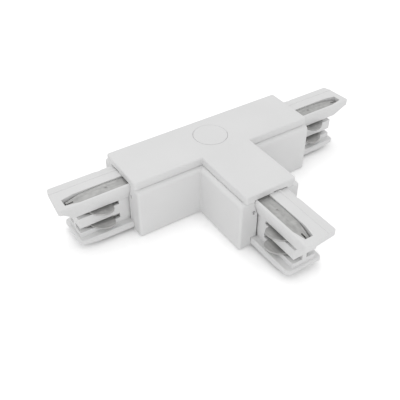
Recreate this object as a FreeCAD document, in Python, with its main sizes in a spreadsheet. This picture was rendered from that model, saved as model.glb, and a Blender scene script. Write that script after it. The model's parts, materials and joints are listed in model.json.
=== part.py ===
import FreeCAD, Part
import os
import re
import Sketcher

# Lighting track connector, T form, for a four-conductor ceiling track.
#
# A white moulded T housing joins three tracks. Each of its three ends carries a
# plug that slides into a track: a moulded insulator with two open slots on each
# side for the live contacts and one slot on top for the earth strip.
#
# Frame: the bar of the T lies along X and the stem points along -Y. The origin
# is the crossing of the three arms' centre lines on the flat back, and +Z points
# out of the back towards the decorated face.
#
# Every plug is drawn in its own frame: X points out of the housing from the end
# face, Y is across the plug and Z is as above. One turn about Z puts it in place.


# Driving dimensions, in millimetres
SIZES = {
    "housing_width": 36.0,
    "arm_reach": 54.2,
    "stem_reach": 53.2,
    "housing_height": 33.0,
    "ledge_width": 3.0,
    "ledge_drop": 4.5,
    "ledge_round": 2.0,
    "corner_round": 1.5,
    "edge_chamfer": 0.5,
    "floor_thickness": 2.0,
    "cover_thickness": 2.0,
    "cover_end_wall": 2.0,
    "skirt_thickness": 1.6,
    "skirt_lap": 2.5,
    "seam_gap": 0.15,
    "fit_gap": 0.1,
    "flange_half_width": 11.0,
    "flange_thickness": 3.4,
    "flange_length": 29.2,
    "flange_tip_half_width": 10.6,
    "flange_corner_round": 2.5,
    "flange_chamfer": 0.6,
    "flange_lead_length": 10.0,
    "flange_lead_height": 1.6,
    "core_half_width": 7.0,
    "core_clearance": 0.8,
    "core_length": 27.6,
    "head_length": 29.6,
    "bow_length": 35.4,
    "neck_half_width": 7.8,
    "head_half_width": 9.75,
    "plate_depth": 3.8,
    "plate_thickness": 3.2,
    "head_depth": 5.7,
    "plate_earth_length": 37.4,
    "plate_key_length": 36.0,
    "plate_earth_round": 1.6,
    "plate_key_round": 2.4,
    "plate_edge_round": 0.9,
    "ridge_inner": 4.3,
    "ridge_width": 1.2,
    "ridge_height": 0.15,
    "key_step": 0.35,
    "notch_start": 6.5,
    "notch_length": 2.6,
    "notch_depth": 0.9,
    "web_thickness": 2.4,
    "slot_start": 5.5,
    "slot_height": 3.0,
    "slot_drop": 0.4,
    "lower_contact_share": 0.27,
    "contact_thickness": 1.0,
    "shank_inner": 2.7,
    "shank_width": 2.6,
    "shank_length": 24.0,
    "tab_start": 9.0,
    "tab_crest": 13.0,
    "tab_reach": 12.1,
    "tab_end": 21.4,
    "tail_length": 14.0,
    "earth_slot_start": 2.0,
    "earth_slot_inner": 1.2,
    "earth_slot_outer": 8.6,
    "earth_slot_tip_inner": 2.5,
    "earth_slot_tip_outer": 7.1,
    "earth_slot_narrowing": 26.0,
    "earth_slot_length": 33.0,
    "earth_slot_depth": 4.4,
    "strip_thickness": 0.8,
    "strip_root_width": 7.0,
    "strip_tip_width": 3.6,
    "strip_taper_start": 23.0,
    "strip_length": 31.5,
    "strip_bow_radius": 150.0,
    "strip_depth": 0.6,
    "strip_crest": 12.0,
    "strip_tail_width": 4.0,
    "strip_fork_width": 0.9,
    "strip_fork_length": 3.5,
    "strip_dimple_place": 10.5,
    "strip_dimple_radius": 0.8,
    "strip_dimple_depth": 0.35,
    "anchor_half_width": 13.0,
    "anchor_length": 6.0,
    "stop_rib_thickness": 1.6,
    "stop_rib_width": 3.0,
    "bar_thickness": 1.0,
    "bar_width": 4.0,
    "bar_centre": 4.0,
    "earth_bar_centre": 5.2,
    "bridge_clearance": 3.0,
    "bridge_share": 0.48,
    "carrier_share": 0.72,
    "carrier_thickness": 1.2,
    "carrier_margin": 0.6,
    "carrier_rib_width": 2.0,
    "carrier_rib_half_length": 8.0,
    "barrier_width": 1.4,
    "rib_pitch": 12.0,
    "rib_inset": 18.2,
    "boss_half_width": 2.7,
    "boss_inset": 26.2,
    "boss_across": 11.2,
    "screw_hole_radius": 1.6,
    "screw_radius": 1.25,
    "screw_length": 18.0,
    "screw_head_radius": 2.4,
    "screw_head_height": 1.6,
    "screw_recess": 0.8,
    "recess_half_length": 1.2,
    "recess_half_width": 0.3,
    "recess_depth": 0.8,
    "pilot_margin": 2.0,
    "cap_radius": 9.2,
    "cap_thickness": 1.0,
    "cap_spigot_radius": 7.8,
    "cap_spigot_wall": 1.4,
    "cap_bead": 0.4,
    "cap_bead_height": 0.8,
    "cap_slit_width": 1.2,
    "face_notch_inner": 1.3,
    "face_notch_outer": 5.6,
    "face_notch_height": 0.6,
    "end_window_inner": 9.4,
    "end_window_outer": 10.7,
    "end_window_rise": 0.2,
    "end_window_height": 2.3,
    "overcut": 1.0,
}

# Sizes that follow from the driving ones
DERIVED = {
    "half_width": "housing_width / 2",
    "wall": "ledge_width - seam_gap",
    "rim": "housing_height - ledge_drop",
    "cover_half_width": "half_width - ledge_width",
    "inner_half_width": "half_width - wall",
    "cover_ceiling": "housing_height - cover_thickness",
    "flange_top": "floor_thickness + flange_thickness",
    "plate_top": "housing_height - plate_depth",
    "plate_bottom": "plate_top - plate_thickness",
    "head_bottom": "plate_bottom - head_depth",
    "upper_contact_level": "head_bottom - slot_height + slot_drop",
    "lower_contact_level": "flange_top + (upper_contact_level - flange_top) * lower_contact_share",
    "contact_pitch": "upper_contact_level - lower_contact_level",
    "end_window_bottom": "head_bottom + end_window_rise",
    "end_window_top": "end_window_bottom + end_window_height",
    "earth_slot_bottom": "plate_top - earth_slot_depth",
    "strip_crest_level": "plate_top - strip_depth",
    "plate_clear": "plate_top + ridge_height + overcut",
    "shank_outer": "shank_inner + shank_width",
    "strip_level": "strip_crest_level - strip_bow_radius + sqrt(strip_bow_radius ^ 2 - strip_crest ^ 2)"
                   " - strip_thickness",
    "strip_centre": "(earth_slot_inner + earth_slot_outer) / 2",
    "anchor_start": "wall + fit_gap",
    "anchor_end": "anchor_start + anchor_length",
    "bar_reach": "arm_reach - anchor_end - seam_gap",
    "bar_stem_reach": "stem_reach - anchor_end - seam_gap",
    "stop_root": "inner_half_width + wall / 2",
    "boss_along": "arm_reach - boss_inset",
    "stem_boss_along": "stem_reach - boss_inset",
    "bridge_rise": "contact_pitch * bridge_share",
    "carrier_level": "lower_contact_level - bar_thickness + contact_pitch * carrier_share",
    "carrier_top": "carrier_level + carrier_thickness",
    "carrier_inset": "anchor_end + stop_rib_thickness + carrier_margin",
    "upper_bar_level": "upper_contact_level - bar_thickness",
    "lower_bar_level": "lower_contact_level - bar_thickness",
    "earth_bar_level": "strip_level - bar_thickness",
    "bridge_front": "bar_centre + bar_width / 2 + bridge_clearance",
    "screw_seat": "screw_recess + screw_head_height",
}

# Two places closer than this, in millimetres, are the same place
SAME_PLACE = 0.001

# The three arms: name, turn about Z and the side of the plug that carries the earth
ARMS = (
    ("right", 0.0, -1),
    ("left", 180.0, 1),
    ("stem", -90.0, -1),
)


document = FreeCAD.newDocument("track_connector")
sheet = document.addObject("Spreadsheet::Sheet", "Sizes")


def fill_sheet():
    """Write each driving size, then each derived one, with its name as the alias."""
    row = 1
    for name, size in SIZES.items():
        sheet.set("A%d" % row, name)
        sheet.set("B%d" % row, str(size))
        sheet.setAlias("B%d" % row, name)
        row += 1
    for name, formula in DERIVED.items():
        sheet.set("A%d" % row, name)
        sheet.set("B%d" % row, "=" + formula)
        sheet.setAlias("B%d" % row, name)
        row += 1
    document.recompute()


def linked(formula):
    """The formula with each size's name pointing at its cell."""
    def cell(word):
        name = word.group()
        return "Sizes." + name if name in SIZES or name in DERIVED else name
    return re.sub(r"[a-z_]+", cell, str(formula))


def number(formula):
    """The present value of a formula, as a plain float."""
    return float(sheet.evalExpression(linked(formula)))


def bind(thing, path, formula):
    """Tie a property to a formula of the sheet's sizes."""
    thing.setExpression(path, linked(formula))


def new_body(name):
    body = document.addObject("PartDesign::Body", name)
    body.Label = name
    return body


def sketch_on(body, role, offset="0"):
    """An empty sketch on one of the body's own planes, moved along its normal."""
    sketch = body.newObject("Sketcher::SketchObject", "Outline")
    origin_plane = [part for part in body.Origin.OriginFeatures if part.Role == role][0]
    sketch.AttachmentSupport = [(origin_plane, "")]
    sketch.MapMode = "FlatFace"
    bind(sketch, "AttachmentOffset.Base.z", offset)
    return sketch


def place_point(sketch, line, end, across, up):
    """Fix one end of an edge at a place given by two formulas."""
    for kind, formula in (("DistanceX", across), ("DistanceY", up)):
        index = sketch.addConstraint(Sketcher.Constraint(kind, -1, 1, line, end, number(formula)))
        bind(sketch, "Constraints[%d]" % index, formula)


def arc_between(start, finish, radius):
    """A quarter turn or less from start to finish, turning left for a positive radius."""
    chord = finish - start
    middle = (start + finish) * 0.5
    half = chord.Length / 2
    sagitta = abs(radius) - (radius ** 2 - half ** 2) ** 0.5
    side = FreeCAD.Vector(chord.y, -chord.x, 0).normalize()
    bulge = middle + side * (sagitta if radius > 0 else -sagitta)
    return Part.Arc(start, bulge, finish)


def outline(sketch, corners):
    """Draw a closed outline.

    Each corner is (across, up) or (across, up, radius): with a radius, the edge
    that leaves the corner is an arc, turning left when the radius starts with +
    and right when it starts with -.
    """
    points = [FreeCAD.Vector(number(corner[0]), number(corner[1]), 0) for corner in corners]
    first = sketch.GeometryCount
    count = len(corners)
    for index, corner in enumerate(corners):
        start = points[index]
        finish = points[(index + 1) % count]
        if len(corner) == 2:
            sketch.addGeometry(Part.LineSegment(start, finish))
        else:
            turn = number(corner[2][1:]) * (1 if corner[2][0] == "+" else -1)
            sketch.addGeometry(arc_between(start, finish, turn))
    starts = []
    finishes = []
    for index, corner in enumerate(corners):
        right_turn = len(corner) == 3 and corner[2][0] == "-"
        starts.append(2 if right_turn else 1)
        finishes.append(1 if right_turn else 2)
    for index in range(count):
        following = (index + 1) % count
        sketch.addConstraint(Sketcher.Constraint(
            "Coincident", first + index, finishes[index], first + following, starts[following]))
    for index, corner in enumerate(corners):
        place_point(sketch, first + index, starts[index], corner[0], corner[1])
        if len(corner) == 3:
            radius = number(corner[2][1:])
            constraint = sketch.addConstraint(Sketcher.Constraint("Radius", first + index, radius))
            bind(sketch, "Constraints[%d]" % constraint, corner[2][1:])


def on_side(side, axis, corners):
    """The corners as drawn for side 1, or mirrored in one of the sketch's axes for side -1."""
    if side > 0:
        return corners
    mirrored = []
    for corner in corners:
        corner = list(corner)
        corner[axis] = "-(%s)" % corner[axis]
        if len(corner) == 3:
            corner[2] = ("-" if corner[2][0] == "+" else "+") + corner[2][1:]
        mirrored.append(tuple(corner))
    return mirrored


def rectangle(sketch, low_across, low_up, high_across, high_up):
    outline(sketch, [
        (low_across, low_up),
        (high_across, low_up),
        (high_across, high_up),
        (low_across, high_up),
    ])


def circle(sketch, across, up, radius):
    centre = FreeCAD.Vector(number(across), number(up), 0)
    edge = sketch.addGeometry(Part.Circle(centre, FreeCAD.Vector(0, 0, 1), number(radius)))
    place_point(sketch, edge, 3, across, up)
    index = sketch.addConstraint(Sketcher.Constraint("Radius", edge, number(radius)))
    bind(sketch, "Constraints[%d]" % index, radius)


def pad(body, sketch, length, back=False, both_ways=False):
    feature = body.newObject("PartDesign::Pad", "Pad")
    feature.Profile = sketch
    feature.Reversed = back
    feature.Midplane = both_ways
    bind(feature, "Length", length)


def pocket(body, sketch, length, along_normal=False, both_ways=False):
    feature = body.newObject("PartDesign::Pocket", "Pocket")
    feature.Profile = sketch
    feature.Reversed = along_normal
    feature.Midplane = both_ways
    bind(feature, "Length", length)


def round_edges(body, radius, chosen):
    """Round the edges of the body's present shape that the test picks."""
    document.recompute()
    base = body.Tip
    names = ["Edge%d" % (index + 1) for index, edge in enumerate(base.Shape.Edges) if chosen(edge)]
    feature = body.newObject("PartDesign::Fillet", "Fillet")
    feature.Base = (base, names)
    bind(feature, "Radius", radius)


def chamfer_edges(body, size, chosen):
    """Bevel the edges of the body's present shape that the test picks."""
    document.recompute()
    base = body.Tip
    names = ["Edge%d" % (index + 1) for index, edge in enumerate(base.Shape.Edges) if chosen(edge)]
    feature = body.newObject("PartDesign::Chamfer", "Chamfer")
    feature.Base = (base, names)
    bind(feature, "Size", size)


def middle_of(edge):
    return edge.valueAt((edge.FirstParameter + edge.LastParameter) / 2)


def near(first, second):
    return abs(first - second) < SAME_PLACE


def upright(edge):
    box = edge.BoundBox
    return box.XLength < SAME_PLACE and box.YLength < SAME_PLACE


def level(edge):
    return edge.BoundBox.ZLength < SAME_PLACE


def tee(half_width, inset="0"):
    """Corners of the T, drawn in by an inset from the ends of its three arms."""
    wide = "(%s)" % half_width
    long = "(arm_reach - (%s))" % inset
    stem = "(stem_reach - (%s))" % inset
    return [
        ("-" + long, "-" + wide),
        ("-" + wide, "-" + wide),
        ("-" + wide, "-" + stem),
        (wide, "-" + stem),
        (wide, "-" + wide),
        (long, "-" + wide),
        (long, wide),
        ("-" + long, wide),
    ]


def rounded_section(half_width, height, radius):
    """A wall section with its two upper corners rounded."""
    return [
        ("-" + half_width, "0"),
        (half_width, "0"),
        (half_width, "%s - %s" % (height, radius), "+" + radius),
        ("%s - %s" % (half_width, radius), height),
        ("%s - %s" % (radius, half_width), height, "+" + radius),
        ("-" + half_width, "%s - %s" % (height, radius)),
    ]


def end_opening():
    """The stepped opening that a plug passes through, seen along the arm."""
    flange = "flange_half_width + seam_gap"
    core = "core_half_width + core_clearance"
    ledge = "flange_top + seam_gap"
    neck = "neck_half_width + seam_gap"
    head = "head_half_width + seam_gap"
    shoulder = "head_bottom - seam_gap"
    right_side = [
        (flange, "floor_thickness"),
        (flange, ledge),
        (core, ledge),
        (core, shoulder),
        (neck, shoulder),
        (head, "plate_bottom"),
        (head, "housing_height"),
    ]
    return right_side + [("-(%s)" % across, up) for across, up in reversed(right_side)]


def end_windows(sketch):
    """A small square window in the end wall on each side of the plug."""
    for side in ("", "-"):
        rectangle(sketch, side + "end_window_inner", "end_window_bottom",
                  side + "end_window_outer", "end_window_top")


# Screw places: two behind the bar and two beside the stem
SCREW_PLACES = [("%d * boss_along" % side, "boss_across") for side in (-1, 1)]
SCREW_PLACES += [("%d * boss_across" % side, "-stem_boss_along") for side in (-1, 1)]


def arm_ribs(sketch):
    """Two cross ribs under the conductors of each arm, one pitch apart."""
    low, high = "-carrier_rib_half_length", "carrier_rib_half_length"
    for step in (0, 1):
        place = "(%%s - rib_inset - %d * rib_pitch %%s carrier_rib_width / 2)" % step
        inner, outer = place % ("arm_reach", "-"), place % ("arm_reach", "+")
        rectangle(sketch, inner, low, outer, high)
        rectangle(sketch, "-" + outer, low, "-" + inner, high)
        inner, outer = place % ("stem_reach", "-"), place % ("stem_reach", "+")
        rectangle(sketch, low, "-" + outer, high, "-" + inner)


def make_housing_base():
    """The lower shell: floor, walls with a rounded rim, end openings, ribs and screw bosses."""
    body = new_body("housing_base")

    bar = sketch_on(body, "YZ_Plane")
    outline(bar, rounded_section("half_width", "rim", "ledge_round"))
    pad(body, bar, "2 * arm_reach", both_ways=True)

    stem = sketch_on(body, "XZ_Plane")
    outline(stem, rounded_section("half_width", "rim", "ledge_round"))
    pad(body, stem, "stem_reach")

    round_edges(body, "corner_round", lambda edge: upright(edge) and not (
        near(abs(middle_of(edge).x), number("half_width"))
        and near(middle_of(edge).y, -number("half_width"))))

    chamfer_edges(body, "edge_chamfer", lambda edge: level(edge) and near(middle_of(edge).z, 0))

    hollow = sketch_on(body, "XY_Plane", "floor_thickness")
    outline(hollow, tee("inner_half_width", "wall"))
    pocket(body, hollow, "rim", along_normal=True)

    bar_ends = sketch_on(body, "YZ_Plane")
    outline(bar_ends, end_opening())
    end_windows(bar_ends)
    pocket(body, bar_ends, "2 * arm_reach + overcut", both_ways=True)

    stem_end = sketch_on(body, "XZ_Plane", "stem_reach")
    outline(stem_end, end_opening())
    end_windows(stem_end)
    pocket(body, stem_end, "2 * wall")

    bosses = sketch_on(body, "XY_Plane", "floor_thickness")
    for across, up in SCREW_PLACES:
        rectangle(bosses, across + " - boss_half_width", up + " - boss_half_width",
                  across + " + boss_half_width", up + " + boss_half_width")
    pad(body, bosses, "carrier_level - floor_thickness")

    ribs = sketch_on(body, "XY_Plane", "floor_thickness")
    arm_ribs(ribs)
    pad(body, ribs, "lower_bar_level - floor_thickness")

    stops = sketch_on(body, "XY_Plane", "floor_thickness")
    near_edge = "(%s - anchor_end - stop_rib_thickness)"
    far_edge = "(%s - anchor_end - fit_gap)"
    inner_edge = "(inner_half_width - stop_rib_width)"
    for side in ("", "-"):
        for other in ("", "-"):
            rectangle(stops, side + near_edge % "arm_reach", other + inner_edge,
                      side + far_edge % "arm_reach", other + "stop_root")
        rectangle(stops, side + inner_edge, "-" + near_edge % "stem_reach",
                  side + "stop_root", "-" + far_edge % "stem_reach")
    pad(body, stops, "carrier_level - floor_thickness")

    shafts = sketch_on(body, "XY_Plane")
    for across, up in SCREW_PLACES:
        circle(shafts, across, up, "screw_hole_radius")
    pocket(body, shafts, "carrier_level + overcut", along_normal=True)

    sinks = sketch_on(body, "XY_Plane")
    for across, up in SCREW_PLACES:
        circle(sinks, across, up, "screw_head_radius + fit_gap")
    pocket(body, sinks, "screw_seat", along_normal=True)


def make_housing_cover():
    """The decorated T cover: a raised plate with a skirt that drops inside the base."""
    body = new_body("housing_cover")

    plate = sketch_on(body, "XY_Plane", "rim")
    outline(plate, tee("cover_half_width"))
    pad(body, plate, "ledge_drop")

    inner = "cover_half_width"
    round_edges(body, "corner_round", lambda edge: upright(edge) and not (
        near(abs(middle_of(edge).x), number(inner)) and near(middle_of(edge).y, -number(inner))))

    chamfer_edges(body, "edge_chamfer", lambda edge: level(edge)
                  and near(middle_of(edge).z, number("housing_height")))

    skirt = sketch_on(body, "XY_Plane", "rim")
    outline(skirt, tee("cover_half_width", "wall + seam_gap"))
    pad(body, skirt, "skirt_lap", back=True)

    hollow = sketch_on(body, "XY_Plane", "rim - skirt_lap")
    outline(hollow, tee("cover_half_width - skirt_thickness", "cover_end_wall"))
    pocket(body, hollow, "cover_ceiling - rim + skirt_lap", along_normal=True)

    passage = [
        ("-(head_half_width + seam_gap)", "rim - overcut"),
        ("head_half_width + seam_gap", "rim - overcut"),
        ("head_half_width + seam_gap", "plate_top + seam_gap"),
        ("face_notch_outer", "plate_top + seam_gap"),
        ("face_notch_outer", "plate_top + face_notch_height"),
        ("face_notch_inner", "plate_top + face_notch_height"),
        ("face_notch_inner", "plate_top + seam_gap"),
        ("-(head_half_width + seam_gap)", "plate_top + seam_gap"),
    ]
    bar_ends = sketch_on(body, "YZ_Plane")
    outline(bar_ends, passage)
    pocket(body, bar_ends, "2 * arm_reach + overcut", both_ways=True)

    stem_end = sketch_on(body, "XZ_Plane", "stem_reach")
    outline(stem_end, passage)
    pocket(body, stem_end, "2 * wall")

    bosses = sketch_on(body, "XY_Plane", "cover_ceiling")
    for across, up in SCREW_PLACES:
        rectangle(bosses, across + " - boss_half_width", up + " - boss_half_width",
                  across + " + boss_half_width", up + " + boss_half_width")
    pad(body, bosses, "cover_ceiling - carrier_top", back=True)

    keepers = sketch_on(body, "XY_Plane", "cover_ceiling")
    low = "-(earth_bar_centre + bar_width / 2)"
    high = "bar_width / 2 - earth_bar_centre"
    for side in ("", "-"):
        rectangle(keepers, side + "(rib_pitch - carrier_rib_width / 2)", low,
                  side + "(rib_pitch + carrier_rib_width / 2)", high)
    rectangle(keepers, low, "-(2 * rib_pitch + carrier_rib_width / 2)",
              high, "-(2 * rib_pitch - carrier_rib_width / 2)")
    pad(body, keepers, "cover_ceiling - strip_level", back=True)

    pilots = sketch_on(body, "XY_Plane", "carrier_top")
    for across, up in SCREW_PLACES:
        circle(pilots, across, up, "screw_radius + fit_gap")
    pocket(body, pilots, "screw_seat + screw_length + pilot_margin - carrier_top", along_normal=True)

    seat = sketch_on(body, "XY_Plane", "housing_height")
    circle(seat, "0", "0", "cap_radius + seam_gap")
    pocket(body, seat, "cap_thickness")

    hole = sketch_on(body, "XY_Plane", "housing_height")
    circle(hole, "0", "0", "cap_spigot_radius + seam_gap")
    pocket(body, hole, "cover_thickness + overcut")


def make_centre_cap():
    """The flush round cap: a disc on a slit spigot whose bead snaps under the cover."""
    body = new_body("centre_cap")

    section = sketch_on(body, "XZ_Plane")
    bead_top = "cover_ceiling - fit_gap"
    bore = "cap_spigot_radius - cap_spigot_wall"
    outline(section, [
        ("0", "housing_height - cap_thickness"),
        (bore, "housing_height - cap_thickness"),
        (bore, bead_top + " - cap_bead_height"),
        ("cap_spigot_radius + cap_bead", bead_top + " - cap_bead_height"),
        ("cap_spigot_radius + cap_bead", bead_top),
        ("cap_spigot_radius", bead_top),
        ("cap_spigot_radius", "housing_height - cap_thickness"),
        ("cap_radius", "housing_height - cap_thickness"),
        ("cap_radius", "housing_height"),
        ("0", "housing_height"),
    ])
    turned = body.newObject("PartDesign::Revolution", "Revolution")
    turned.Profile = section
    turned.ReferenceAxis = (section, ["V_Axis"])
    turned.Angle = 360

    slits = sketch_on(body, "XY_Plane", "housing_height - cap_thickness")
    rectangle(slits, "-cap_radius", "-cap_slit_width / 2", "cap_radius", "cap_slit_width / 2")
    pocket(body, slits, "cover_thickness + cap_bead_height")

    cross_slits = sketch_on(body, "XY_Plane", "housing_height - cap_thickness")
    rectangle(cross_slits, "-cap_slit_width / 2", "-cap_radius", "cap_slit_width / 2", "cap_radius")
    pocket(body, cross_slits, "cover_thickness + cap_bead_height")


def make_screws():
    """The four cover screws as one group: pan heads with a cross recess, driven from the back."""
    screws = []
    for across, up in SCREW_PLACES:
        body = new_body("screw")
        section = sketch_on(body, "XZ_Plane")
        outline(section, [
            ("0", "screw_recess"),
            ("screw_head_radius", "screw_recess"),
            ("screw_head_radius", "screw_seat"),
            ("screw_radius", "screw_seat"),
            ("screw_radius", "screw_seat + screw_length"),
            ("0", "screw_seat + screw_length"),
        ])
        turned = body.newObject("PartDesign::Revolution", "Revolution")
        turned.Profile = section
        turned.ReferenceAxis = (section, ["V_Axis"])
        turned.Angle = 360
        recess = sketch_on(body, "XY_Plane", "screw_recess")
        arm, thin = "recess_half_length", "recess_half_width"
        outline(recess, [
            ("-" + arm, "-" + thin),
            ("-" + thin, "-" + thin),
            ("-" + thin, "-" + arm),
            (thin, "-" + arm),
            (thin, "-" + thin),
            (arm, "-" + thin),
            (arm, thin),
            (thin, thin),
            (thin, arm),
            ("-" + thin, arm),
            ("-" + thin, thin),
            ("-" + arm, thin),
        ])
        pocket(body, recess, "recess_depth", along_normal=True)
        bind(body, "Placement.Base.x", across)
        bind(body, "Placement.Base.y", up)
        screws.append(body)
    group = document.addObject("Part::Compound", "cover_screws")
    group.Label = "cover_screws"
    group.Links = screws


def set_on_arm(body, turn):
    """Turn a piece drawn in the plug's frame onto its arm, and move it out to the end face."""
    body.Placement.Rotation = FreeCAD.Rotation(FreeCAD.Vector(0, 0, 1), turn)
    outward = body.Placement.Rotation.multVec(FreeCAD.Vector(1, 0, 0))
    bind(body, "Placement.Base.x", "%d * arm_reach" % round(outward.x))
    bind(body, "Placement.Base.y", "%d * stem_reach" % round(outward.y))


def make_plug(arm, turn, earth_side):
    """One plug insulator: foot flange, slotted core, undercut head and long top plate."""
    body = new_body(arm + "_plug")
    key_side = -earth_side

    flange = sketch_on(body, "XY_Plane", "floor_thickness")
    corner = "flange_corner_round"
    outline(flange, [
        ("-anchor_start", "-flange_half_width"),
        ("flange_length - " + corner, "-flange_tip_half_width", "+" + corner),
        ("flange_length", "%s - flange_tip_half_width" % corner),
        ("flange_length", "flange_tip_half_width - " + corner, "+" + corner),
        ("flange_length - " + corner, "flange_tip_half_width"),
        ("-anchor_start", "flange_half_width"),
    ])
    pad(body, flange, "flange_thickness")
    chamfer_edges(body, "flange_chamfer", lambda edge: level(edge)
                  and near(middle_of(edge).z, number("flange_top"))
                  and not near(middle_of(edge).x, -number("anchor_start")))

    lead = sketch_on(body, "XZ_Plane")
    outline(lead, [
        ("flange_length - flange_lead_length", "floor_thickness"),
        ("flange_length + overcut", "floor_thickness"),
        ("flange_length + overcut", "floor_thickness + flange_lead_height"),
        ("flange_length", "floor_thickness + flange_lead_height"),
    ])
    pocket(body, lead, "2 * flange_half_width + overcut", both_ways=True)

    core = sketch_on(body, "YZ_Plane", "-anchor_start")
    rectangle(core, "-core_half_width", "flange_top - flange_chamfer",
              "core_half_width", "head_bottom + slot_drop")
    pad(body, core, "core_length + anchor_start")

    head = sketch_on(body, "YZ_Plane", "-anchor_start")
    outline(head, [
        ("-neck_half_width", "head_bottom"),
        ("neck_half_width", "head_bottom"),
        ("head_half_width", "plate_bottom"),
        ("head_half_width", "plate_bottom + slot_drop"),
        ("-head_half_width", "plate_bottom + slot_drop"),
        ("-head_half_width", "plate_bottom"),
    ])
    pad(body, head, "bow_length + anchor_start")

    bow = sketch_on(body, "XZ_Plane")
    outline(bow, [
        ("head_length", "head_bottom - overcut"),
        ("bow_length + overcut", "head_bottom - overcut"),
        ("bow_length + overcut", "plate_bottom"),
        ("bow_length", "plate_bottom"),
        ("head_length", "head_bottom"),
    ])
    pocket(body, bow, "2 * head_half_width + overcut", both_ways=True)

    plate = sketch_on(body, "YZ_Plane", "-anchor_start")
    soft = "plate_edge_round"
    ridge_outer = "ridge_inner + ridge_width"
    outline(plate, on_side(key_side, 0, [
        ("-head_half_width", "plate_bottom"),
        ("head_half_width", "plate_bottom"),
        ("head_half_width", "plate_top - key_step - " + soft, "+" + soft),
        ("head_half_width - " + soft, "plate_top - key_step"),
        (ridge_outer, "plate_top - key_step"),
        (ridge_outer, "plate_top + ridge_height"),
        ("ridge_inner", "plate_top + ridge_height"),
        ("ridge_inner", "plate_top"),
        (soft + " - head_half_width", "plate_top", "+" + soft),
        ("-head_half_width", "plate_top - " + soft),
    ]))
    pad(body, plate, "plate_earth_length + anchor_start")

    end_cut = sketch_on(body, "XY_Plane", "plate_bottom - overcut")
    outline(end_cut, on_side(key_side, 1, [
        ("plate_earth_length + overcut", "-head_half_width - overcut"),
        ("plate_earth_length + overcut", "head_half_width + overcut"),
        ("plate_key_length - plate_key_round", "head_half_width + overcut"),
        ("plate_key_length - plate_key_round", "head_half_width", "-plate_key_round"),
        ("plate_key_length", "head_half_width - plate_key_round"),
        ("plate_earth_length", "plate_earth_round - head_half_width", "-plate_earth_round"),
        ("plate_earth_length - plate_earth_round", "-head_half_width"),
        ("plate_earth_length - plate_earth_round", "-head_half_width - overcut"),
    ]))
    pocket(body, end_cut, "plate_clear - plate_bottom + overcut", along_normal=True)

    notch = sketch_on(body, "XY_Plane", "plate_bottom")
    outline(notch, on_side(key_side, 1, [
        ("notch_start", "head_half_width - notch_depth"),
        ("notch_start + notch_length", "head_half_width - notch_depth"),
        ("notch_start + notch_length", "head_half_width + overcut"),
        ("notch_start", "head_half_width + overcut"),
    ]))
    pocket(body, notch, "plate_clear - plate_bottom", along_normal=True)

    for contact_level in ("lower_contact_level", "upper_contact_level"):
        slots = sketch_on(body, "XY_Plane", contact_level + " - slot_drop")
        for side in ("", "-"):
            rectangle(slots, "slot_start", side + "(web_thickness / 2)",
                      "bow_length", side + "flange_half_width")
        pocket(body, slots, "slot_height", along_normal=True)

    anchor = sketch_on(body, "YZ_Plane", "-anchor_start")
    rectangle(anchor, "-anchor_half_width", "floor_thickness", "anchor_half_width", "strip_level")
    pad(body, anchor, "anchor_length", back=True)

    for contact_level in ("lower_contact_level", "upper_contact_level"):
        passages = sketch_on(body, "XY_Plane", contact_level)
        for side in ("", "-"):
            rectangle(passages, "-anchor_end - overcut", side + "(shank_inner - fit_gap)",
                      "slot_start + overcut", side + "(shank_outer + fit_gap)")
        pocket(body, passages, "contact_thickness + fit_gap", along_normal=True)

    strip_bed = sketch_on(body, "XY_Plane", "strip_level")
    outline(strip_bed, on_side(key_side, 1, [
        ("-anchor_end - overcut", "-earth_slot_outer"),
        ("earth_slot_start + overcut", "-earth_slot_outer"),
        ("earth_slot_start + overcut", "-earth_slot_inner"),
        ("-anchor_end - overcut", "-earth_slot_inner"),
    ]))
    pocket(body, strip_bed, "plate_clear - strip_level", along_normal=True)

    earth_slot = sketch_on(body, "XY_Plane", "earth_slot_bottom")
    outline(earth_slot, on_side(key_side, 1, [
        ("earth_slot_start", "-earth_slot_outer"),
        ("earth_slot_narrowing", "-earth_slot_outer"),
        ("earth_slot_length", "-earth_slot_tip_outer"),
        ("earth_slot_length", "-earth_slot_tip_inner"),
        ("earth_slot_narrowing", "-earth_slot_inner"),
        ("earth_slot_start", "-earth_slot_inner"),
    ]))
    pocket(body, earth_slot, "plate_clear - earth_slot_bottom", along_normal=True)

    set_on_arm(body, turn)


def make_contact(arm, turn, side, contact_level, circuit):
    """One flat live contact: tail, sprung shank and the rounded tab that meets the track."""
    body = new_body("%s_%s_contact" % (arm, circuit))
    near_round = "(tab_crest - tab_start)"
    rise = "(tab_reach - shank_outer)"
    run = "(tab_end - tab_crest)"
    far_round = "((%s ^ 2 + %s ^ 2) / (2 * %s))" % (run, rise, rise)
    blank = sketch_on(body, "XY_Plane", contact_level)
    outline(blank, on_side(side, 1, [
        ("-tail_length", "shank_inner"),
        ("-tail_length", "shank_outer"),
        ("tab_start", "shank_outer"),
        ("tab_start", "tab_reach - " + near_round, "-" + near_round),
        ("tab_crest", "tab_reach", "-" + far_round),
        ("tab_end", "shank_outer"),
        ("shank_length", "shank_outer"),
        ("shank_length", "shank_inner"),
    ]))
    pad(body, blank, "contact_thickness")
    set_on_arm(body, turn)


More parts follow.
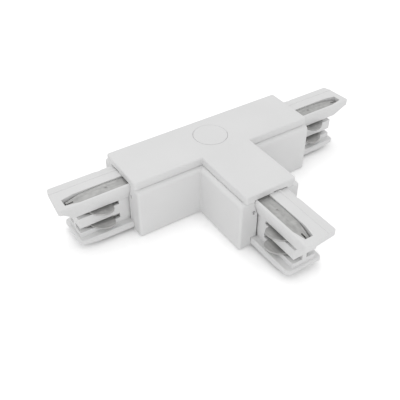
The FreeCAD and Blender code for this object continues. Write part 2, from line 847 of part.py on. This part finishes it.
def make_earth_strip(arm, turn, earth_side):
    """The bowed earth strip: a tapering leaf with a forked tip and a narrow tail."""
    body = new_body(arm + "_earth_strip")

    def fall(place):
        return ("(strip_crest_level - strip_bow_radius + sqrt(strip_bow_radius ^ 2 - "
                "(%s - strip_crest) ^ 2))" % place)

    section = sketch_on(body, "XZ_Plane", "%d * strip_centre" % -earth_side)
    outline(section, [
        ("-tail_length", "strip_level"),
        ("0", "strip_level", "-(strip_bow_radius)"),
        ("strip_length", fall("strip_length") + " - strip_thickness"),
        ("strip_length", fall("strip_length"), "+(strip_bow_radius)"),
        ("0", "strip_level + strip_thickness"),
        ("-tail_length", "strip_level + strip_thickness"),
    ])
    pad(body, section, "strip_root_width", both_ways=True)

    trims = sketch_on(body, "XY_Plane")
    centre = "%d * strip_centre" % earth_side
    for edge_side in (1, -1):
        edge = "%s + %d * " % (centre, edge_side)
        outline(trims, [
            ("strip_taper_start", edge + "strip_root_width / 2"),
            ("strip_length", edge + "strip_tip_width / 2"),
            ("strip_length + overcut", edge + "strip_tip_width / 2"),
            ("strip_length + overcut", edge + "(strip_root_width / 2 + overcut)"),
            ("strip_taper_start", edge + "(strip_root_width / 2 + overcut)"),
        ])
        rectangle(trims, "-tail_length - overcut", edge + "strip_tail_width / 2",
                  "-anchor_start", edge + "(strip_root_width / 2 + overcut)")
    rectangle(trims, "strip_length - strip_fork_length", centre + " - strip_fork_width / 2",
              "strip_length + overcut", centre + " + strip_fork_width / 2")
    pocket(body, trims, "housing_height", along_normal=True)

    dimple = sketch_on(body, "XY_Plane", "strip_crest_level - strip_dimple_depth")
    circle(dimple, "strip_dimple_place", centre, "strip_dimple_radius")
    pocket(body, dimple, "strip_dimple_depth + overcut", along_normal=True)

    set_on_arm(body, turn)


def make_flat_bar(name, centre, bar_level):
    """A flat T-shaped conductor on the front side of the bar and the same side of the stem."""
    body = new_body(name)
    plan = sketch_on(body, "XY_Plane", bar_level)
    far = "-(%s + bar_width / 2)" % centre
    close = "-(%s - bar_width / 2)" % centre
    outline(plan, [
        ("-bar_reach", far),
        (far, far),
        (far, "-bar_stem_reach"),
        (close, "-bar_stem_reach"),
        (close, far),
        ("bar_reach", far),
        ("bar_reach", close),
        ("-bar_reach", close),
    ])
    pad(body, plan, "bar_thickness")


def make_bridged_bar(name, bar_level):
    """A conductor on the back side, whose stem branch bridges the front conductor."""
    body = new_body(name)
    plan = sketch_on(body, "XY_Plane", bar_level)
    low = "bar_centre - bar_width / 2"
    rectangle(plan, "-bar_reach", low, "bar_reach", "bar_centre + bar_width / 2")
    pad(body, plan, "bar_thickness")

    side_view = sketch_on(body, "YZ_Plane", low)
    underside = bar_level + " + bridge_rise"
    top = underside + " + bar_thickness"
    outline(side_view, [
        ("-bar_stem_reach", bar_level),
        ("bar_thickness - bridge_front", bar_level),
        ("bar_thickness - bridge_front", underside),
        (low + " - bar_thickness", underside),
        (low + " - bar_thickness", bar_level),
        (low, bar_level),
        (low, top),
        ("-bridge_front", top),
        ("-bridge_front", bar_level + " + bar_thickness"),
        ("-bar_stem_reach", bar_level + " + bar_thickness"),
    ])
    pad(body, side_view, "bar_width")


def make_bar_carrier():
    """The moulded insulating plate between the two levels of conductors."""
    body = new_body("bar_carrier")

    plate = sketch_on(body, "XY_Plane", "carrier_level")
    outline(plate, tee("inner_half_width - carrier_margin", "carrier_inset"))
    pad(body, plate, "carrier_thickness")

    ribs = sketch_on(body, "XY_Plane", "carrier_level")
    arm_ribs(ribs)
    pad(body, ribs, "upper_bar_level - carrier_level")

    barrier = sketch_on(body, "XY_Plane", "carrier_level")
    rectangle(barrier, "carrier_inset - arm_reach", "-barrier_width / 2",
              "arm_reach - carrier_inset", "barrier_width / 2")
    pad(body, barrier, "upper_contact_level - carrier_level")

    stem_barrier = sketch_on(body, "XY_Plane", "carrier_level")
    rectangle(stem_barrier, "-barrier_width / 2", "carrier_inset - stem_reach",
              "barrier_width / 2", "-bridge_front - bar_thickness")
    pad(body, stem_barrier, "upper_contact_level - carrier_level")

    holes = sketch_on(body, "XY_Plane", "carrier_level")
    for across, up in SCREW_PLACES:
        circle(holes, across, up, "screw_hole_radius")
    pocket(body, holes, "carrier_thickness", along_normal=True)


def build():
    fill_sheet()
    make_housing_base()
    make_housing_cover()
    make_centre_cap()
    make_screws()
    for arm, turn, earth_side in ARMS:
        make_plug(arm, turn, earth_side)
        make_earth_strip(arm, turn, earth_side)
        make_contact(arm, turn, earth_side, "upper_contact_level", "line_one")
        make_contact(arm, turn, -earth_side, "upper_contact_level", "line_two")
        make_contact(arm, turn, earth_side, "lower_contact_level", "line_three")
        make_contact(arm, turn, -earth_side, "lower_contact_level", "neutral")
    make_flat_bar("line_one_bar", "bar_centre", "upper_bar_level")
    make_bridged_bar("line_two_bar", "upper_bar_level")
    make_flat_bar("line_three_bar", "bar_centre", "lower_bar_level")
    make_bridged_bar("neutral_bar", "lower_bar_level")
    make_flat_bar("earth_bar", "earth_bar_centre", "earth_bar_level")
    make_bar_carrier()
    document.recompute()


def kept_pieces():
    """The bodies and groups that are pieces of the product."""
    grouped = [screw for group in document.findObjects("Part::Compound") for screw in group.Links]
    bodies = [body for body in document.findObjects("PartDesign::Body") if body not in grouped]
    return bodies + document.findObjects("Part::Compound")


def check(pieces):
    """Stop with a plain message where an object has failed or a piece has no sound shape."""
    for thing in document.Objects:
        if "Invalid" in thing.State or "Error" in thing.State:
            raise RuntimeError("%s failed: %s" % (thing.Name, thing.State))
    for piece in pieces:
        if piece.Shape.isNull() or not piece.Shape.isValid():
            raise RuntimeError("%s has no sound shape" % piece.Label)


build()
pieces = kept_pieces()
check(pieces)
os.makedirs("parts", exist_ok=True)
for piece in pieces:
    piece.Shape.exportStep("parts/%s.step" % piece.Label)
    print(piece.Label, len(piece.Shape.Solids), round(piece.Shape.Volume, 1))
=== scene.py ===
# %% [markdown]
# # A lighting track connector
# This T-shaped connector joins three ceiling lighting tracks. Its solids come from a
# CAD frame that is already the right size and in the right place. This lesson dresses
# them: softened edges, believable plastics and metals, a studio and a camera.
# The frame's own meshes are never edited, so every size stays true.

# %% Load the frame
import json
import math
import bmesh
import bpy
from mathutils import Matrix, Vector


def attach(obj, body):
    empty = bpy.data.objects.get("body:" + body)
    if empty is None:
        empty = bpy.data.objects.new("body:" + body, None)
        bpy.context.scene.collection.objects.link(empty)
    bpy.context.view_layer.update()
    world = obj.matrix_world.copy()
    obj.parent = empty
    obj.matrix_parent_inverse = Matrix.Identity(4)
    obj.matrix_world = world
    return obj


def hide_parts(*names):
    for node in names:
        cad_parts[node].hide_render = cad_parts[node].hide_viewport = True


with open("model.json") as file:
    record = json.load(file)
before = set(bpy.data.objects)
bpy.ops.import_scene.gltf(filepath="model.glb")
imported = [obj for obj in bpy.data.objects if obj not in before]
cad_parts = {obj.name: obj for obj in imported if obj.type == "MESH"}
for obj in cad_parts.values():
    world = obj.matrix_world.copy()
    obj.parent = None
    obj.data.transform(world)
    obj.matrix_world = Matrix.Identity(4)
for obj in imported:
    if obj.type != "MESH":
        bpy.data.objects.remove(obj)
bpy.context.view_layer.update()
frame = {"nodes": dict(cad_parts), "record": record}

MM = 0.001
nodes = frame["nodes"]
ARMS = ("right", "left", "stem")
CIRCUITS = ("line_one", "line_two", "line_three", "neutral")
slot_of = {row["node"]: row["material_slot"] for row in frame["record"]["subparts"]}
print("frame pieces:", len(nodes))

# %% [markdown]
# ## Fine grain on moulded plastic
# A steel mould is spark-eroded, which leaves a fine, even grain on the part. It could
# be modelled, but it is far below a tenth of a millimetre, so it belongs in the
# material. Several plastics share it, so it is one node group with its own inputs.

# %% Helpers for node groups
def node_group(name, numbers_in, outputs):
    """An empty shader group with number inputs and named outputs."""
    group = bpy.data.node_groups.new(name, "ShaderNodeTree")
    for label, value in numbers_in:
        socket = group.interface.new_socket(
            name=label, in_out="INPUT", socket_type="NodeSocketFloat")
        socket.default_value = value
    for label, kind in outputs:
        group.interface.new_socket(name=label, in_out="OUTPUT", socket_type=kind)
    entry = group.nodes.new("NodeGroupInput")
    leave = group.nodes.new("NodeGroupOutput")
    return group, entry, leave


def math_node(group, operation, first, second):
    """A Math node fed by sockets or plain numbers."""
    node = group.nodes.new("ShaderNodeMath")
    node.operation = operation
    for index, value in enumerate((first, second)):
        if isinstance(value, (int, float)):
            node.inputs[index].default_value = value
        else:
            group.links.new(value, node.inputs[index])
    return node.outputs[0]


print("helpers:", node_group.__name__, math_node.__name__)


# %% The grain group
GRAIN_HEIGHT = 0.06 * MM
FLOW_MARKS_PER_METRE = 38.0
EFFECT_OUTPUTS = [("Normal", "NodeSocketVector"), ("Roughness", "NodeSocketFloat"),
                  ("Tone", "NodeSocketFloat")]


def make_moulded_grain():
    """Fine grain for the normal, and wide flow marks for roughness and tone."""
    group, entry, leave = node_group(
        "moulded_grain",
        [("Grains per metre", 2600.0), ("Depth", 0.12), ("Roughness", 0.42),
         ("Roughness spread", 0.06)],
        EFFECT_OUTPUTS)
    place = group.nodes.new("ShaderNodeTexCoord")
    grain = group.nodes.new("ShaderNodeTexNoise")
    grain.inputs["Detail"].default_value = 2.0
    group.links.new(place.outputs["Object"], grain.inputs["Vector"])
    group.links.new(entry.outputs["Grains per metre"], grain.inputs["Scale"])
    flow = group.nodes.new("ShaderNodeTexNoise")
    flow.inputs["Scale"].default_value = FLOW_MARKS_PER_METRE
    flow.inputs["Detail"].default_value = 3.0
    group.links.new(place.outputs["Object"], flow.inputs["Vector"])
    bump = group.nodes.new("ShaderNodeBump")
    bump.inputs["Distance"].default_value = GRAIN_HEIGHT
    group.links.new(entry.outputs["Depth"], bump.inputs["Strength"])
    group.links.new(grain.outputs["Fac"], bump.inputs["Height"])
    centred = math_node(group, "SUBTRACT", flow.outputs["Fac"], 0.5)
    spread = math_node(group, "MULTIPLY", centred, entry.outputs["Roughness spread"])
    rough = math_node(group, "ADD", spread, entry.outputs["Roughness"])
    group.links.new(bump.outputs["Normal"], leave.inputs["Normal"])
    group.links.new(rough, leave.inputs["Roughness"])
    group.links.new(flow.outputs["Fac"], leave.inputs["Tone"])
    return group


moulded_grain = make_moulded_grain()
print("group:", moulded_grain.name)

# %% [markdown]
# ## Streaks on rolled metal
# Contact strip is rolled, then tin plated, so it carries fine streaks along its
# length and a dull, patchy shine. Noise that is stretched along one axis gives the
# streaks. Each arm points its own way, so the stretch is an input of the group.

# %% The streak group
STREAK_HEIGHT = 0.04 * MM
STREAKS_PER_METRE = 900.0


def make_rolled_streaks():
    """Stretched noise for the normal, and small dull patches for roughness and tone."""
    group, entry, leave = node_group(
        "rolled_streaks",
        [("Across x", 1.0), ("Across y", 1.0), ("Patches per metre", 220.0), ("Depth", 0.1),
         ("Roughness", 0.36), ("Roughness spread", 0.16)],
        EFFECT_OUTPUTS)
    place = group.nodes.new("ShaderNodeTexCoord")
    stretch = group.nodes.new("ShaderNodeVectorMath")
    stretch.operation = "MULTIPLY"
    factors = group.nodes.new("ShaderNodeCombineXYZ")
    group.links.new(entry.outputs["Across x"], factors.inputs["X"])
    group.links.new(entry.outputs["Across y"], factors.inputs["Y"])
    factors.inputs["Z"].default_value = 1.0
    group.links.new(place.outputs["Object"], stretch.inputs[0])
    group.links.new(factors.outputs["Vector"], stretch.inputs[1])
    streaks = group.nodes.new("ShaderNodeTexNoise")
    streaks.inputs["Scale"].default_value = STREAKS_PER_METRE
    streaks.inputs["Detail"].default_value = 4.0
    group.links.new(stretch.outputs["Vector"], streaks.inputs["Vector"])
    patches = group.nodes.new("ShaderNodeTexNoise")
    patches.inputs["Detail"].default_value = 4.0
    group.links.new(place.outputs["Object"], patches.inputs["Vector"])
    group.links.new(entry.outputs["Patches per metre"], patches.inputs["Scale"])
    bump = group.nodes.new("ShaderNodeBump")
    bump.inputs["Distance"].default_value = STREAK_HEIGHT
    group.links.new(entry.outputs["Depth"], bump.inputs["Strength"])
    group.links.new(streaks.outputs["Fac"], bump.inputs["Height"])
    centred = math_node(group, "SUBTRACT", patches.outputs["Fac"], 0.5)
    spread = math_node(group, "MULTIPLY", centred, entry.outputs["Roughness spread"])
    rough = math_node(group, "ADD", spread, entry.outputs["Roughness"])
    together = math_node(group, "ADD", streaks.outputs["Fac"], patches.outputs["Fac"])
    tone = math_node(group, "MULTIPLY", together, 0.5)
    group.links.new(bump.outputs["Normal"], leave.inputs["Normal"])
    group.links.new(rough, leave.inputs["Roughness"])
    group.links.new(tone, leave.inputs["Tone"])
    return group


rolled_streaks = make_rolled_streaks()
print("group:", rolled_streaks.name)

# %% [markdown]
# ## Painted shade in narrow slots
# Little light comes back out of the deep contact slots, so they read almost black on
# the real plugs. That shade is painted into the base colour here. An Ambient Occlusion
# node measures how closed in a point is over a few millimetres. A Map Range keeps the
# painted shade off the open faces, and the group hands out a mask that the plug plastic uses.

# %% The painted slot shade group
def make_slot_shade():
    """A painted-shade mask that is 0 deep in a narrow slot and 1 on open faces."""
    group, entry, leave = node_group(
        "slot_shade",
        [("Reach", 4 * MM), ("Closed", 0.06), ("Open", 0.42)],
        [("Openness", "NodeSocketFloat")])
    closed_in = group.nodes.new("ShaderNodeAmbientOcclusion")
    closed_in.samples = 8
    group.links.new(entry.outputs["Reach"], closed_in.inputs["Distance"])
    spread = group.nodes.new("ShaderNodeMapRange")
    spread.interpolation_type = "SMOOTHSTEP"
    group.links.new(closed_in.outputs["AO"], spread.inputs["Value"])
    group.links.new(entry.outputs["Closed"], spread.inputs["From Min"])
    group.links.new(entry.outputs["Open"], spread.inputs["From Max"])
    group.links.new(spread.outputs["Result"], leave.inputs["Openness"])
    return group


slot_shade = make_slot_shade()
print("group:", slot_shade.name)

# %% [markdown]
# ## Finishes
# A finish is one Principled BSDF with a shared group beside it. The group moves the
# roughness, the normal and, through a two-colour ramp, the base colour a little, so
# that no surface is perfectly even. The housing is a satin white, the plugs are the
# same white with a slightly smoother skin, and the metals are dull.

# %% A finish from a group and two close colours
TONE_LOW, TONE_HIGH = 0.32, 0.68


def make_finish(name, group, settings, dark, light, metallic=0.0, painted_shade=None):
    """One Principled material. Noise stays near its middle, so the ramp uses that part."""
    material = bpy.data.materials.new(name)
    material.use_nodes = True
    tree = material.node_tree
    shader = tree.nodes["Principled BSDF"]
    shader.inputs["Metallic"].default_value = metallic
    effect = tree.nodes.new("ShaderNodeGroup")
    effect.node_tree = group
    for label, value in settings.items():
        effect.inputs[label].default_value = value
    ramp = tree.nodes.new("ShaderNodeValToRGB")
    ramp.color_ramp.elements[0].position = TONE_LOW
    ramp.color_ramp.elements[0].color = (*dark, 1.0)
    ramp.color_ramp.elements[1].position = TONE_HIGH
    ramp.color_ramp.elements[1].color = (*light, 1.0)
    tree.links.new(effect.outputs["Tone"], ramp.inputs["Fac"])
    colour = ramp.outputs["Color"]
    # Painted shade: deep in a narrow slot the base colour turns to the dark painted shade
    # colour.
    if painted_shade:
        mask = tree.nodes.new("ShaderNodeGroup")
        mask.node_tree = slot_shade
        blend = tree.nodes.new("ShaderNodeMix")
        blend.data_type = "RGBA"
        blend.inputs["A"].default_value = (*painted_shade, 1.0)
        tree.links.new(mask.outputs["Openness"], blend.inputs["Factor"])
        tree.links.new(colour, blend.inputs["B"])
        colour = blend.outputs["Result"]
    tree.links.new(colour, shader.inputs["Base Color"])
    tree.links.new(effect.outputs["Roughness"], shader.inputs["Roughness"])
    tree.links.new(effect.outputs["Normal"], shader.inputs["Normal"])
    return material


print("a finish is made from:", moulded_grain.name, "or", rolled_streaks.name)

# %% [markdown]
# ## Whites and metals of this connector
# The photograph shows a neutral white housing, plugs of the same white, dull grey
# contacts and slightly brighter, finely mottled earth strips. Each gets two close
# tones instead of one colour. Rolling streaks run along an arm, so the two strip
# metals are made once for each arm, which is simpler than turning a texture.

# %% The finishes
ALONG, ACROSS = 0.06, 1.0
finishes = {
    "housing_plastic": make_finish(
        "housing_plastic", moulded_grain, {"Roughness": 0.46},
        (0.775, 0.775, 0.775), (0.80, 0.80, 0.80)),
    # the plug plastic gets painted shade deep in its slots
    "insulator_plastic": make_finish(
        "insulator_plastic", moulded_grain,
        {"Roughness": 0.38, "Grains per metre": 1800.0, "Depth": 0.06},
        (0.77, 0.77, 0.77), (0.80, 0.80, 0.80), painted_shade=(0.09, 0.09, 0.09)),
    "carrier_plastic": make_finish(
        "carrier_plastic", moulded_grain, {"Roughness": 0.5},
        (0.60, 0.60, 0.59), (0.66, 0.66, 0.65)),
    "bar_metal": make_finish(
        "bar_metal", rolled_streaks, {"Across x": ALONG, "Across y": ALONG},
        (0.62, 0.36, 0.2), (0.76, 0.48, 0.29), 1.0),
    "screw_steel": make_finish(
        "screw_steel", rolled_streaks, {"Roughness": 0.32},
        (0.5, 0.5, 0.49), (0.62, 0.62, 0.6), 1.0),
}
for arm in ARMS:
    lengthwise = {"Across x": ACROSS, "Across y": ALONG} if arm == "stem" else {
        "Across x": ALONG, "Across y": ACROSS}
    finishes["contact_metal", arm] = make_finish(
        "contact_metal_" + arm, rolled_streaks, dict(lengthwise, Roughness=0.5),
        (0.39, 0.39, 0.385), (0.61, 0.605, 0.595), 0.25)
    finishes["earth_spring_metal", arm] = make_finish(
        "earth_spring_metal_" + arm, rolled_streaks,
        dict(lengthwise, **{"Roughness": 0.46, "Patches per metre": 520.0}),
        (0.36, 0.36, 0.355), (0.56, 0.56, 0.55), 0.4)
print("finishes:", len(finishes))

# %% [markdown]
# ## Dress the frame
# The frame names a material slot for every piece. Its meshes stay untouched and only
# their material slots are refilled, which also reaches the pieces inside the housing.

# %% Put a finish on every frame piece
def finish_of(node):
    """The material of a frame piece. The strip metals have one for each arm."""
    arm = node.split("_")[0]
    slot = slot_of[node]
    return finishes[slot, arm] if (slot, arm) in finishes else finishes[slot]


for name, piece in nodes.items():
    for index in range(len(piece.data.materials)):
        piece.data.materials[index] = finish_of(name)
print("dressed:", len(nodes), "pieces, the plug in", finish_of("right_plug").name)

# %% [markdown]
# ## Softened edges
# No moulded or stamped part has a perfectly sharp edge. The frame's meshes stay as
# they are, so each visible piece gets a twin: its mesh is copied, its doubled corners
# are merged, the flat triangles are joined into whole faces, and the sharp edges are
# bevelled. A face-weighted normal keeps the large faces looking flat.

# %% A softened twin of a frame piece
SHARP = math.radians(28)
FLAT = math.radians(0.5)
SMOOTH = math.radians(44)
SAME_PLACE = 1e-6


def softened(node, width_mm, segments=2):
    """A twin of the frame piece whose sharp edges are bevelled by width_mm."""
    shape = bmesh.new()
    shape.from_mesh(nodes[node].data)
    bmesh.ops.remove_doubles(shape, verts=shape.verts, dist=SAME_PLACE)
    bmesh.ops.dissolve_limit(shape, angle_limit=FLAT, verts=shape.verts, edges=shape.edges)
    sharp = [edge for edge in shape.edges
             if len(edge.link_faces) == 2 and edge.calc_face_angle(0.0) > SHARP]
    bmesh.ops.bevel(shape, geom=sharp, offset=width_mm * MM, offset_type="OFFSET",
                    segments=segments, profile=0.5, affect="EDGES", clamp_overlap=True,
                    material=-1)
    mesh = bpy.data.meshes.new(node + "_softened")
    shape.to_mesh(mesh)
    shape.free()
    mesh.polygons.foreach_set("use_smooth", [True] * len(mesh.polygons))
    mesh.set_sharp_from_angle(angle=SMOOTH)
    mesh.materials.append(finish_of(node))
    twin = bpy.data.objects.new(node + "_softened", mesh)
    bpy.context.scene.collection.objects.link(twin)
    even = twin.modifiers.new("even_shading", "WEIGHTED_NORMAL")
    even.keep_sharp = True
    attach(twin, "root")
    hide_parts(node)
    return twin


print("edges sharper than", round(math.degrees(SHARP)), "degrees are softened")

# %% [markdown]
# ## How soft each piece is
# Thick moulded walls leave the mould with the largest radius, the cap and the screw
# heads are crisper, and stamped strip has a small burr-free edge. The widths are a
# small part of each piece's thickness, so that no two bevels meet.

# %% Soften the pieces
widths_mm = {"housing_base": 0.22, "housing_cover": 0.2, "centre_cap": 0.1, "cover_screws": 0.08}
for arm in ARMS:
    widths_mm[arm + "_plug"] = 0.16
    widths_mm[arm + "_earth_strip"] = 0.12
    for circuit in CIRCUITS:
        widths_mm["%s_%s_contact" % (arm, circuit)] = 0.25
twins = [softened(node, width) for node, width in widths_mm.items()]
print("softened pieces:", len(twins))

# %% [markdown]
# ## The studio
# This is a product shot on white: even light from all around, a little more
# from above, and a soft shadow where the part meets the table. A pale world does
# most of the work, and two weak lamps, one above and one in front, set the walls
# apart. The floor shows white to the camera through Light Path. An Ambient Occlusion
# node turns that white down where the part closes the floor in, which paints a contact shadow.

# %% Floor
FLOOR_HALF = 2.0
FLOOR_DROP = 0.05 * MM
FLOOR_WHITE = 0.96
FLOOR_GLOW = 0.3
SHADOW_REACH = 9 * MM

sheet = bmesh.new()
bmesh.ops.create_grid(sheet, x_segments=1, y_segments=1, size=FLOOR_HALF)
floor_mesh = bpy.data.meshes.new("floor")
sheet.to_mesh(floor_mesh)
sheet.free()
floor = bpy.data.objects.new("floor", floor_mesh)
floor.location.z = -FLOOR_DROP
bpy.context.scene.collection.objects.link(floor)

floor_material = bpy.data.materials.new("floor")
floor_material.use_nodes = True
tree = floor_material.node_tree
shader = tree.nodes["Principled BSDF"]
shader.inputs["Base Color"].default_value = (*[FLOOR_WHITE] * 3, 1.0)
shader.inputs["Roughness"].default_value = 0.9
shader.inputs["Specular IOR Level"].default_value = 0.1
shader.inputs["Emission Color"].default_value = (1.0, 1.0, 1.0, 1.0)
path = tree.nodes.new("ShaderNodeLightPath")
# Painted shadow: the floor's glow fades near the part, which paints a contact shadow.
contact = tree.nodes.new("ShaderNodeAmbientOcclusion")
contact.inputs["Distance"].default_value = SHADOW_REACH
glow = math_node(tree, "MULTIPLY", contact.outputs["AO"], FLOOR_GLOW)
seen = math_node(tree, "MULTIPLY", path.outputs["Is Camera Ray"], glow)
tree.links.new(seen, shader.inputs["Emission Strength"])
floor_mesh.materials.append(floor_material)
print("floor half width in m:", FLOOR_HALF)

# %% [markdown]
# ## The pale world
# A real light tent surrounds the part with white cloth. A plain white world does the
# same without any geometry. The camera sees it at full white, while the part receives
# a little less, so that its pale faces keep their detail.

# %% World
WORLD_LIGHT = 0.81
world = bpy.data.worlds.new("studio")
bpy.context.scene.world = world
world.use_nodes = True
tree = world.node_tree
sky = tree.nodes["Background"]
sky.inputs["Color"].default_value = (1.0, 1.0, 1.0, 1.0)
path = tree.nodes.new("ShaderNodeLightPath")
seen = math_node(tree, "MAXIMUM", path.outputs["Is Camera Ray"], WORLD_LIGHT)
tree.links.new(seen, sky.inputs["Strength"])
print("world light:", WORLD_LIGHT)

# %% [markdown]
# ## Two soft lamps
# Without lamps every wall would be equally grey. A weak one high behind the part lifts
# the level faces, and a wide one far in front on the left lifts the long front wall.
# Large discs are used because a small lamp would draw a hard shadow.

# %% Lamps
AIM = Vector((0, -20, 0)) * MM


def softbox(name, place_mm, size_mm, watts):
    """A round area lamp that looks at the middle of the part."""
    lamp = bpy.data.lights.new(name, "AREA")
    lamp.shape = "DISK"
    lamp.size = size_mm * MM
    lamp.energy = watts
    box = bpy.data.objects.new(name, lamp)
    bpy.context.scene.collection.objects.link(box)
    box.location = Vector(place_mm) * MM
    box.rotation_euler = (AIM - box.location).to_track_quat("-Z", "Y").to_euler()


softbox("overhead", (60, 330, 700), 220, 0.55)
softbox("front_left", (-520, -640, 330), 500, 0.5)
print("lamps:", [lamp.name for lamp in bpy.data.lights])

# %% [markdown]
# ## The camera
# The camera was found by fitting a pinhole model to the housing's corners in the
# picture. Its angle, distance and focal length are kept as plain numbers, so the
# part lies in the frame just as it does in the picture.

# %% Camera
AZIMUTH, ELEVATION, ROLL = (math.radians(angle) for angle in (-33.37, 40.54, 0.26))
DISTANCE = 313.21 * MM
TARGET = Vector((-23.09, -25.41, 16.0)) * MM
FOCAL_PIXELS, FRAME_PIXELS, SENSOR = 614.4, 400, 36.0

backward = Vector((math.sin(AZIMUTH) * math.cos(ELEVATION),
                   -math.cos(AZIMUTH) * math.cos(ELEVATION), math.sin(ELEVATION)))
sideways = (-backward).cross(Vector((0, 0, 1))).normalized()
upward = sideways.cross(-backward)
right = math.cos(ROLL) * sideways + math.sin(ROLL) * upward
up = -math.sin(ROLL) * sideways + math.cos(ROLL) * upward

lens = bpy.data.cameras.new("camera")
lens.sensor_width = SENSOR
lens.sensor_height = SENSOR
lens.lens = FOCAL_PIXELS / FRAME_PIXELS * SENSOR
camera = bpy.data.objects.new("camera", lens)
bpy.context.scene.collection.objects.link(camera)
for column, axis in enumerate((right, up, backward)):
    for row in range(3):
        camera.matrix_world[row][column] = axis[row]
camera.matrix_world.translation = TARGET + DISTANCE * backward
bpy.context.scene.camera = camera
bpy.context.scene.view_settings.view_transform = "Standard"
print("camera stands at, in mm:",
      [round(value / MM) for value in camera.matrix_world.translation])
